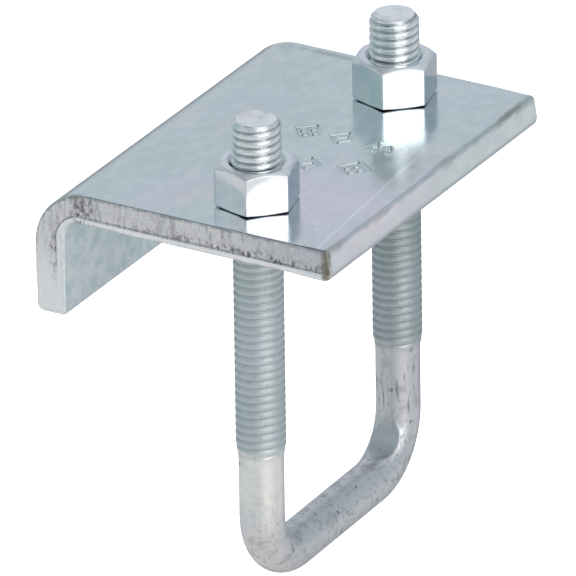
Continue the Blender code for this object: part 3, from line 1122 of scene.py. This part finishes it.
        shell = Shell()
        block = self.hole_block
        open_cells = np.zeros((stations - 1, grid.shape[1]), bool)
        first, last = (int(np.argmin(np.abs(outer.points[:, 0] - x) + off_flat)) for x in (block, -block))
        for centre in (self.legs.axis(-1), self.legs.axis(1)):
            loops = []
            for start, rows in ((0, top_y), (under_start, under_y[::-1])):
                near, far = (start + int(np.argmin(np.abs(rows - centre[1] - y))) for y in (-block, block))
                open_cells[first:last, min(near, far) : max(near, far)] = True
                loops.append(self.block_loop(grid, first, last, near, far))
            shell.add_grid(*self.hole_strip(*loops, centre))
        shell.add_grid(grid, traits, left_out=open_cells)
        return shell

    def depth(self, grid: np.ndarray, outer: Curve, inner: Curve) -> np.ndarray:
        """Depth below the top face as a share of the thickness: how far a point lies along the line
        from its station's outer point to its inner one. At toe and lip, where the two points draw
        together, it is the distance from the top face's or the lip back's own plane instead.

        Args:
            grid: the plate's grid.
            outer: the bar's outer line.
            inner: its inner line.

        Returns:
            The depth at each point, from 0 to 1.
        """
        line = inner.points - outer.points
        length = np.linalg.norm(line, axis=1)[:, None]
        offset = grid[:, :, [0, 2]] - outer.points[:, None]
        across = (offset * line[:, None]).sum(axis=-1) / np.maximum(length, 1e-9) ** 2
        x, z = grid[..., 0], grid[..., 2]
        plain = np.where(x > 0.0, self.thickness - z, x + self.heel_reach) / self.thickness
        return np.clip(np.where(length > self.closing, across, plain), 0.0, 1.0)

    @staticmethod
    def block_loop(grid: np.ndarray, first: int, last: int, near: int, far: int) -> np.ndarray:
        """The points round a block of cells, from its toe side at the near row.

        Args:
            grid: the plate's grid.
            first: the block's first station.
            last: its last station.
            near: the row with the lower Y.
            far: the row with the higher Y.

        Returns:
            The loop's points, the first one not repeated.
        """
        step = 1 if far > near else -1
        rows = np.arange(near, far + step, step)
        across = np.arange(first, last + 1)
        return np.concatenate(
            [grid[across[:-1], near], grid[last, rows[:-1]], grid[across[::-1][:-1], far], grid[first, rows[::-1][:-1]]]
        )

    def hole_strip(self, top: np.ndarray, under: np.ndarray, centre: Pair) -> tuple[np.ndarray, Traits]:
        """Rings from the top block's border to the rim, down the hole and out to the lower border.
        A ring is a blend of the square border and a circle, at the border point's own bearing.

        Args:
            top: the loop round the top block.
            under: the loop round the lower block.
            centre: X and Y of the hole.

        Returns:
            The rings as a grid, and the values that they carry.
        """
        bearing = np.arctan2(top[:, 1] - centre[1], top[:, 0] - centre[0])

        def ring(radius: float, z: float) -> np.ndarray:
            """A circle at the border points' bearings."""
            x, y = centre[0] + radius * np.cos(bearing), centre[1] + radius * np.sin(bearing)
            return np.stack([x, y, np.full(len(bearing), z)], axis=1)

        wall, broken, t = self.hole_radius, self.hole_edge, self.thickness
        rim, eased = wall + broken, wall + self.hole_ease
        shares = (0.3, 0.6, 0.85, 0.97)
        down = ((rim, t), (eased, t - broken), (wall, t - 1.4 * broken), (wall, t / 2))
        down += ((wall, 1.4 * broken), (eased, broken), (rim, 0.0))
        rings = [top, *(top + share * (ring(rim, t) - top) for share in shares), *(ring(*place) for place in down)]
        rings += [*(under + share * (ring(rim, 0.0) - under) for share in shares[::-1]), under]
        return np.stack(rings), {Trait.DEPTH: np.linspace(0.0, 1.0, len(rings))[:, None]}

    def build(self, finish: bpy.types.Material) -> bpy.types.Object:
        """The dressed plate.

        Args:
            finish: its material.

        Returns:
            The piece.
        """
        piece = self.shell().weld("folded_plate", finish, Trait.EDGE, Trait.SHEAR, Trait.DEPTH)
        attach(piece, Body.PLATE.value)
        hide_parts("clamp_plate")
        return piece


@dataclass
class UBolt:
    """The U-bolt: one rod along a path down the front leg, across the bar and up the rear leg, with
    a right-hand thread rolled on each leg."""

    legs: Legs = Legs()
    rod_radius: float = 4.28 * MM
    bend_radius: float = 11.7 * MM
    shank: float = 11.65 * MM
    stud_top: float = 23.1 * MM
    thread_radius: float = 4.7625 * MM
    pitch: float = 25.4 / 16 * MM
    thread_length: float = 66.15 * MM
    runout_turns: float = 2.25
    crest_share: float = 0.50
    leg_wear: float = 0.34
    worn_from: float = 9.0 * MM
    worn_past: float = 22.0 * MM
    root_rounding: float = 0.11
    chamfer_depth: float = 0.85 * MM
    chamfer_length: float = 1.2 * MM
    flat_depth: float = 1.1 * MM
    die_clearance: float = 0.05 * MM
    crown: float = 0.02 * MM
    dent: Pair = (0.12 * MM, 0.20 * MM)
    profile: tuple[float, ...] = (-0.5, -0.44, -0.392, -0.27, -0.14, -0.108, 0.0, 0.108, 0.14, 0.27, 0.392, 0.44)
    bend_before: float = 1.5 * MM
    bend_past: float = 19.9 * MM
    columns: int = 64

    @property
    def threaded(self) -> float:
        """Distance from a leg's end to where the thread has run out."""
        return self.thread_length + self.runout_turns * self.pitch

    @property
    def leg(self) -> float:
        """Distance from a leg's end to its bend."""
        return self.threaded + self.shank

    @property
    def length(self) -> float:
        """The rod's whole length along its centre line."""
        return 2 * self.leg + math.pi * self.bend_radius + self.legs.spacing - 2 * self.bend_radius

    def path(self, s: np.ndarray) -> tuple[np.ndarray, np.ndarray]:
        """The rod's centre and the direction to the inside of the U, both in Y and Z.

        The front leg falls straight, a quarter circle turns it into the bar, and the second half
        mirrors the first.

        Args:
            s: distance along the rod from the front leg's end.

        Returns:
            Centres and inward directions, with a last axis of 2.
        """
        mirrored = s > self.length / 2
        d = np.where(mirrored, self.length - s, s)
        half, r = self.legs.spacing / 2, self.bend_radius
        bend_top = self.stud_top - self.leg
        turn = np.clip((d - self.leg) / r, 0.0, math.pi / 2)
        beyond = np.maximum(d - self.leg - r * math.pi / 2, 0.0)
        y = -half + r * (1 - np.cos(turn)) + beyond
        z = self.stud_top - np.minimum(d, self.leg) - r * np.sin(turn)
        inward = np.stack([np.cos(turn), np.sin(turn)], axis=-1)
        centre = np.stack([y, z], axis=-1)
        sign = np.where(mirrored, -1.0, 1.0)
        centre[..., 0] *= sign
        inward[..., 0] *= sign
        return centre, inward

    def thread_depth(self, s: np.ndarray, theta: np.ndarray) -> np.ndarray:
        """Depth of the thread below its crest: a broad, slightly rounded crest, flanks at 30
        degrees to the square, and a rounded root, on a helix that climbs one pitch a turn.

        Args:
            s: distance along the rod.
            theta: angle round it.

        Returns:
            The depth at each point.
        """
        p, rounding = self.pitch, self.root_rounding * self.pitch
        phase = np.mod(s / p + theta / (2 * math.pi) + 0.5, 1.0) - 0.5
        offset = np.abs(phase) * p
        crest = self.crest_share * p / 2
        flank = np.maximum(offset - crest, 0.0) * math.sqrt(3) + self.crown * np.minimum(offset / crest, 1.0) ** 2
        tangent = p / 2 - rounding * math.sin(math.pi / 3)
        root_centre = (tangent - crest) * math.sqrt(3) + self.crown - rounding * math.cos(math.pi / 3)
        across = np.minimum(p / 2 - offset, rounding)
        curve = root_centre + np.sqrt(np.maximum(rounding**2 - across**2, 0.0))
        return np.where(offset > tangent, curve, flank)

    def radius(self, s: np.ndarray, theta: np.ndarray) -> tuple[np.ndarray, np.ndarray, np.ndarray]:
        """The rod's radius: the plain rod, or the thread, which fades into the rod over its runout
        and is cut by a cone at the leg's end.

        Args:
            s: distance along the rod.
            theta: angle round it.

        Returns:
            The radius, how threaded the rod is and how deep in the thread the point lies, 0 to 1.
        """
        d = np.minimum(s, self.length - s)
        depth = self.thread_depth(s, theta) * (1 - self.leg_wear * smoothstep(self.worn_from, self.worn_past, d))
        share = smoothstep(self.threaded, self.thread_length - 0.3 * self.pitch, d)
        radius = self.rod_radius + share * (self.thread_radius - depth - self.rod_radius)
        length = self.chamfer_length * (0.86 + 0.14 * np.sin(2 * theta + 0.6) * np.cos(theta - 1.1))
        cone = self.thread_radius - self.chamfer_depth * (1 - d / length)
        radius = np.where(d < self.chamfer_length, np.minimum(radius, cone), radius)
        deepest = self.thread_depth(np.array(self.pitch / 2), np.array(0.0))
        return radius, share, share * depth / deepest

    def place(self, s: np.ndarray, theta: np.ndarray, radius: np.ndarray) -> tuple[np.ndarray, np.ndarray]:
        """Points at centre + radius times (cos theta along X + sin theta inward), pressed back to
        the forming die's surface where they would lie inside it.

        Args:
            s: distance along the rod.
            theta: angle round it.
            radius: distance from its centre line.

        Returns:
            The points, and 1 where the die has pressed them.
        """
        centre, inward = self.path(s)
        x = radius * np.cos(theta)
        y = centre[..., 0] + radius * np.sin(theta) * inward[..., 0]
        z = centre[..., 1] + radius * np.sin(theta) * inward[..., 1]
        clear = self.rod_radius + self.die_clearance
        die_radius = self.bend_radius - clear - self.flat_depth / (math.sqrt(2) - 1)
        bend_top = self.stud_top - self.leg
        qy = np.abs(y) - (self.legs.spacing / 2 - clear - die_radius)
        qz = bend_top - self.bend_radius + clear + die_radius - z
        out_y, out_z = np.maximum(qy, 0.0), np.maximum(qz, 0.0)
        length = np.hypot(out_y, out_z)
        gap = length + np.minimum(np.maximum(qy, qz), 0.0) - die_radius
        push = np.where(z < bend_top + 1.0 * MM, np.maximum(-gap, 0.0), 0.0)
        length = np.maximum(length, 1e-9)
        y = y + np.sign(y) * push * out_y / length
        z = z - push * out_z / length
        return self.legs.placed(np.stack([x, y, z], axis=-1)), smoothstep(0.01 * MM, 0.12 * MM, push)

    def threaded_grid(self, low: float, high: float) -> tuple[np.ndarray, np.ndarray, int]:
        """Distances and angles of a threaded length, on rows that follow the helix, so each row
        keeps to its own place in the thread's profile. Rows past either end lie on it.

        Args:
            low: where the length starts along the rod.
            high: where it ends.

        Returns:
            The distances, the angles and the rows in one pitch.
        """
        turns = np.arange(math.floor(low / self.pitch) - 1, math.ceil(high / self.pitch) + 3)
        rows = (turns[:, None] + np.array(self.profile)).reshape(-1) * self.pitch
        theta = 2 * math.pi * np.arange(self.columns) / self.columns
        s = rows[:, None] - self.pitch * theta / (2 * math.pi)
        return np.clip(s, low, high), np.broadcast_to(theta, s.shape), len(self.profile)

    def shell(self) -> Shell:
        """The rod as one welded surface: a flat end, a threaded leg, the plain U, the second leg
        and its end.

        Returns:
            The gathered grids.
        """
        shell = Shell()
        whole = self.length
        theta = 2 * math.pi * np.arange(self.columns) / self.columns
        for low, high in ((0.0, self.threaded), (whole - self.threaded, whole)):
            s, angle, rows = self.threaded_grid(low, high)
            radius, share, depth = self.radius(s, angle)
            traits = {Trait.THREAD: share, Trait.ROOT: depth}
            shell.add_grid(self.place(s, angle, radius)[0], traits, seam_rows=rows)
        stops = [self.threaded, self.leg - self.bend_before, self.leg + self.bend_past]
        stops += [whole - stop for stop in reversed(stops)]
        runs = [np.linspace(a, b, steps)[:-1] for a, b, steps in zip(stops, stops[1:], (14, 56, 28, 56, 14))]
        steps = np.concatenate([*runs, stops[-1:]])
        s, angle = np.meshgrid(steps, theta, indexing="ij")
        radius, share, depth = self.radius(s, angle)
        points, pressed = self.place(s, angle, radius)
        shell.add_grid(points, {Trait.PRESSED: pressed})
        for end in (0.0, whole):
            rim, _, _ = self.radius(np.full(self.columns, end), theta)
            shares = np.array([1.0, 0.98, 0.93, 0.8, 0.6, 0.35, 0.15, 0.0])
            shares_round, angle = np.meshgrid(shares, theta, indexing="ij")
            dent = self.dent[0] + self.dent[1] * smoothstep(-0.15, 0.35, shares_round * np.cos(angle - 0.3))
            sunk = dent * smoothstep(0.98, 0.8, shares_round)
            s = end - sunk if end == whole else end + sunk
            face = smoothstep(1.0, 0.96, shares)[:, None]
            shell.add_grid(self.place(s, angle, shares[:, None] * rim)[0], {Trait.THREAD: 1.0 - face, Trait.CUT: face})
        return shell

    def build(self, finish: bpy.types.Material) -> bpy.types.Object:
        """The dressed U-bolt.

        Args:
            finish: its material.

        Returns:
            The piece.
        """
        piece = self.shell().weld("threaded_u_bolt", finish, Trait.THREAD, Trait.ROOT, Trait.CUT, Trait.PRESSED)
        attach(piece, Body.BOLT.value)
        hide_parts("u_bolt")
        return piece


Row = tuple[np.ndarray | float, np.ndarray | float, np.ndarray | float, float]


@dataclass
class HexNut:
    """A hex nut, chamfered on both faces, on one leg's axis."""

    name: str
    body: Body
    node: str
    axis: Pair
    bearing: float
    across_flats: float = 14.29 * MM
    height: float = 8.1 * MM
    seat: float = 6.65 * MM
    seat_reach: float = 0.24 * MM
    chamfer_inset: float = 0.45 * MM
    chamfer_angle: float = math.radians(30)
    seat_chamfer_angle: float = math.radians(11)
    bore: float = 5.0625 * MM
    thread_crest: float = 4.79 * MM
    countersink: float = 0.45 * MM
    corner_radius: float = 0.35 * MM
    edge_break: float = 0.22 * MM

    def section(self) -> tuple[np.ndarray, np.ndarray, np.ndarray]:
        """The hexagon's points, with each corner a small arc and each flat a straight run.

        Returns:
            The distance of each point from the axis, its bearing, and 1 on the corners.
        """
        rounding = self.corner_radius
        reach = (self.across_flats / 2 - rounding) / math.cos(math.pi / 6)
        turn = np.radians(np.linspace(-30.0, 30.0, 7))
        x = reach + rounding * np.cos(turn)
        y = rounding * np.sin(turn)
        flat_end = np.array([x[-1], y[-1]])
        next_start = np.array([x[0] * 0.5 - y[0] * math.sqrt(0.75), x[0] * math.sqrt(0.75) + y[0] * 0.5])
        shares = np.array([0.02, 0.1, 0.22, 0.36, 0.5, 0.64, 0.78, 0.9, 0.98])[:, None]
        flat = flat_end + shares * (next_start - flat_end)
        px, py = np.concatenate([x, flat[:, 0]]), np.concatenate([y, flat[:, 1]])
        on_corner = np.concatenate([np.cos(turn * 2.4).clip(0, 1), np.zeros(len(shares))])
        radius = np.hypot(px, py)
        angle = np.arctan2(py, px)
        sectors = np.arange(6)[:, None] * math.pi / 3
        return np.tile(radius, 6), (sectors + angle).reshape(-1), np.tile(on_corner, 6)

    def shell(self) -> Shell:
        """The nut as one surface: the profile goes up the bore, over the countersink, out across
        the face, down the chamfer cone, down the flats and back in underneath. The cone meets the
        flats at face height less (radius - face radius) times the cone's slope.

        Returns:
            The gathered grid.
        """
        outer, angle, on_corner = self.section()
        angle = angle + self.bearing
        face = self.across_flats / 2 - self.chamfer_inset
        flare = self.bore + self.countersink
        top, middle = self.seat + self.height, self.seat + self.height / 2

        def half(start: float, slope: float) -> list[Row]:
            """One face's rows, from the bore out to the flats, at depths below the face.

            Args:
                start: the face's height.
                slope: the slope of its chamfer cone.

            Returns:
                Radius, height, edge and shade of each row.
            """
            made: list[Row] = [
                (self.bore, 3.2 * MM, 0.0, 1.0),
                (self.thread_crest, 2.4 * MM, 0.0, 0.8),
                (self.thread_crest, self.countersink + 0.14 * MM, 0.0, 0.5),
                (self.bore, self.countersink + 0.05 * MM, 0.0, 0.5),
                (self.bore + 0.04 * MM, self.countersink - 0.04 * MM, 0.0, 0.4),
                (flare - 0.05 * MM, 0.06 * MM, 0.3, 0.1),
                (flare + 0.03 * MM, 0.01 * MM, 0.6, 0.0),
                (flare + 0.12 * MM, 0.0, 0.2, 0.0),
                (flare + 0.45 * (face - flare), 0.0, 0.0, 0.0),
                (face - 0.12 * MM, 0.0, 0.0, 0.0),
                (face - 0.02 * MM, 0.01 * MM, 0.1, 0.0),
            ]
            cone_in = np.maximum(outer - self.edge_break, face + 0.3 * (outer - face))
            for share in (0.0, 0.5):
                radius = face + 0.06 * MM + share * (cone_in - face - 0.06 * MM)
                made.append((radius, (radius - face) * slope, 0.0, 0.0))
            edge = (outer - face) * slope
            flat = edge + self.edge_break * 0.8
            for t in (0.0, 0.25, 0.5, 0.75, 1.0):
                before, at, after = (1 - t) ** 2, 2 * t * (1 - t), t * t
                depth = before * (cone_in - face) * slope + at * edge + after * flat
                shine = np.maximum(1.0 - abs(t - 0.5) * 1.6, on_corner)
                made.append((before * cone_in + (at + after) * outer, depth, shine, 0.0))
            for share in (0.03, 0.10, 0.3, 0.65):
                made.append((outer, flat + share * (abs(start - middle) - flat), on_corner, 0.0))
            sign = math.copysign(1.0, start - middle)
            return [(radius, start - sign * depth, edge, shade) for radius, depth, edge, shade in made]

        rows = half(top, math.tan(self.chamfer_angle)) + [(outer, middle, on_corner, 0.0)]
        rows += reversed(half(self.seat - self.seat_reach, math.tan(self.seat_chamfer_angle)))
        rows += [(self.bore, middle, 0.0, 1.0), rows[0]]
        radius, z, edge, shade = (np.stack([np.broadcast_to(v, outer.shape) for v in values]) for values in zip(*rows))
        x, y = self.axis[0] + radius * np.cos(angle), self.axis[1] + radius * np.sin(angle)
        cone_z = top - (radius - face) * math.tan(self.chamfer_angle)
        cone = smoothstep(face - 0.15 * MM, face + 0.05 * MM, radius)
        cone = cone * smoothstep(cone_z - 0.30 * MM, cone_z - 0.02 * MM, z)
        shell = Shell()
        shell.add_grid(np.stack([x, y, z], axis=-1), {Trait.EDGE: edge, Trait.SHEAR: shade, Trait.DEPTH: cone})
        return shell

    def build(self, finish: bpy.types.Material) -> bpy.types.Object:
        """The dressed nut.

        Args:
            finish: its material.

        Returns:
            The piece.
        """
        piece = self.shell().weld(self.name, finish, Trait.EDGE, Trait.SHEAR, Trait.DEPTH)
        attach(piece, self.body.value)
        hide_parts(self.node)
        return piece


# Studio


@dataclass(frozen=True)
class Glow:
    """A soft patch of the studio's surroundings, in degrees round +Z from +X and above the horizon."""

    azimuth: float
    elevation: float
    core: float
    reach: float
    colour: Colour


@dataclass
class Studio:
    """Pale floor, soft surroundings and the camera."""

    focal_pixels: float = 14000.0
    picture_pixels: float = 576.0
    azimuth: float = 30.07
    elevation: float = 25.23
    roll: float = -0.84
    offset: Triple = (-7.21, -26.03, 2616.97)
    plate_top: float = 6.35
    floor_drop: float = 0.5
    floor_reach: float = 4.0
    base: Colour = (0.50, 0.57, 0.62)
    glows: tuple[Glow, ...] = (
        Glow(-90.0, -90.0, 50.0, 84.0, (0.76, 0.76, 0.76)),
        Glow(100.0, -22.0, 12.0, 50.0, (0.42, 0.45, 0.49)),
        Glow(120.0, -25.0, 8.0, 28.0, (0.27, 0.29, 0.32)),
        Glow(120.0, 25.0, 14.0, 40.0, (0.60, 0.65, 0.71)),
        Glow(90.0, 22.0, 6.0, 24.0, (0.34, 0.42, 0.48)),
        Glow(50.0, -14.0, 8.0, 24.0, (0.72, 0.74, 0.76)),
        Glow(-174.0, 22.0, 16.0, 25.0, (0.37, 0.50, 0.51)),
        Glow(-138.0, 20.0, 9.0, 16.0, (0.82, 0.84, 0.88)),
        Glow(180.0, 72.0, 17.0, 26.0, (0.06, 0.07, 0.07)),
        Glow(-20.0, 64.0, 12.0, 34.0, (1.10, 1.13, 1.15)),
        Glow(-30.0, -24.0, 18.0, 36.0, (0.84, 0.85, 0.84)),
        Glow(-30.0, 20.0, 17.0, 29.0, (1.9, 1.92, 1.95)),
    )

    def camera(self) -> None:
        """The camera, from the photograph's side and at its distance."""
        a, e, r = (math.radians(v) for v in (self.azimuth, self.elevation, self.roll))
        back = Vector((math.sin(a) * math.cos(e), -math.cos(a) * math.cos(e), math.sin(e)))
        level = Vector((math.cos(a), math.sin(a), 0.0))
        upright = back.cross(level)
        right = math.cos(r) * level + math.sin(r) * upright
        up = -math.sin(r) * level + math.cos(r) * upright
        tx, ty, tz = self.offset
        place = (right * tx + up * ty + back * tz + Vector((0.0, 0.0, self.plate_top))) * MM
        data = bpy.data.cameras.new("camera")
        data.sensor_width = 36.0
        data.lens = self.focal_pixels * data.sensor_width / self.picture_pixels
        data.clip_start = 0.05
        data.clip_end = 50.0
        made = bpy.data.objects.new("camera", data)
        bpy.context.scene.collection.objects.link(made)
        turned = Matrix((right, up, back)).transposed().to_4x4()
        made.matrix_world = Matrix.Translation(place) @ turned
        bpy.context.scene.camera = made

    def surroundings(self) -> None:
        """Soft light from all round: a base colour and patches, each a smooth rise with the cosine
        of the angle to its middle. The camera itself sees plain white behind the floor's edge."""
        world = bpy.data.worlds.new("studio")
        world.use_nodes = True
        bpy.context.scene.world = world
        w = Wiring(world.node_tree)
        world.node_tree.nodes.clear()
        toward = w.node("ShaderNodeTexCoord").outputs["Generated"]
        colour: Input = self.base
        for glow in self.glows:
            az, el = math.radians(glow.azimuth), math.radians(glow.elevation)
            axis = (math.cos(az) * math.cos(el), math.sin(az) * math.cos(el), math.sin(el))
            dot = w.fed("ShaderNodeVectorMath", {0: toward, 1: axis}, "Value", operation="DOT_PRODUCT")
            share = w.rise(dot, math.cos(math.radians(glow.reach)), math.cos(math.radians(glow.core)))
            colour = w.blend(share, colour, glow.colour)
        seen = w.node("ShaderNodeLightPath").outputs["Is Camera Ray"]
        background = w.fed("ShaderNodeBackground", {"Color": w.blend(seen, colour, (1.0, 1.0, 1.0))})
        w.feed(w.node("ShaderNodeOutputWorld").inputs["Surface"], background)

    def floor(self) -> None:
        """A pale floor well below the hanging part, bright enough to read as plain white."""
        side = np.linspace(-self.floor_reach, self.floor_reach, 9)
        x, y = np.meshgrid(side, side, indexing="ij")
        shell = Shell()
        shell.add_grid(np.stack([x, y, np.full(x.shape, -self.floor_drop)], axis=-1), {}, closed=False)
        finish = bpy.data.materials.new("pale_floor")
        finish.use_nodes = True
        shader = finish.node_tree.nodes["Principled BSDF"]
        shader.inputs["Base Color"].default_value = (0.9, 0.9, 0.9, 1.0)
        shader.inputs["Roughness"].default_value = 0.8
        shader.inputs["Emission Color"].default_value = (1.0, 1.0, 1.0, 1.0)
        shader.inputs["Emission Strength"].default_value = 0.9
        made = shell.weld("floor", finish)
        made.visible_glossy = False
        made.visible_diffuse = False

    def build(self) -> None:
        """Camera, surroundings and floor."""
        self.camera()
        self.surroundings()
        self.floor()
        bpy.context.scene.view_settings.view_transform = "Standard"


def main() -> None:
    """Builds the studio and the four pieces, and reports each piece."""
    logging.basicConfig(level=logging.INFO, format="%(message)s")
    Studio().build()
    effects = Effects()
    plate_finish = PlateFinish().build(effects)
    rod_finish = RodFinish().build(effects)
    nut_finish = NutFinish().build(effects)
    legs = Legs()
    pieces = [
        ClampPlate().build(plate_finish),
        UBolt().build(rod_finish),
        HexNut("near_nut", Body.FRONT_NUT, "front_nut", legs.axis(-1), math.radians(45.0)).build(nut_finish),
        HexNut("far_nut", Body.REAR_NUT, "rear_nut", legs.axis(1), math.radians(42.7)).build(nut_finish),
    ]
    for piece in pieces:
        LOG.info("%s: %d faces", piece.name, len(piece.data.polygons))


if __name__ == "__main__":
    main()
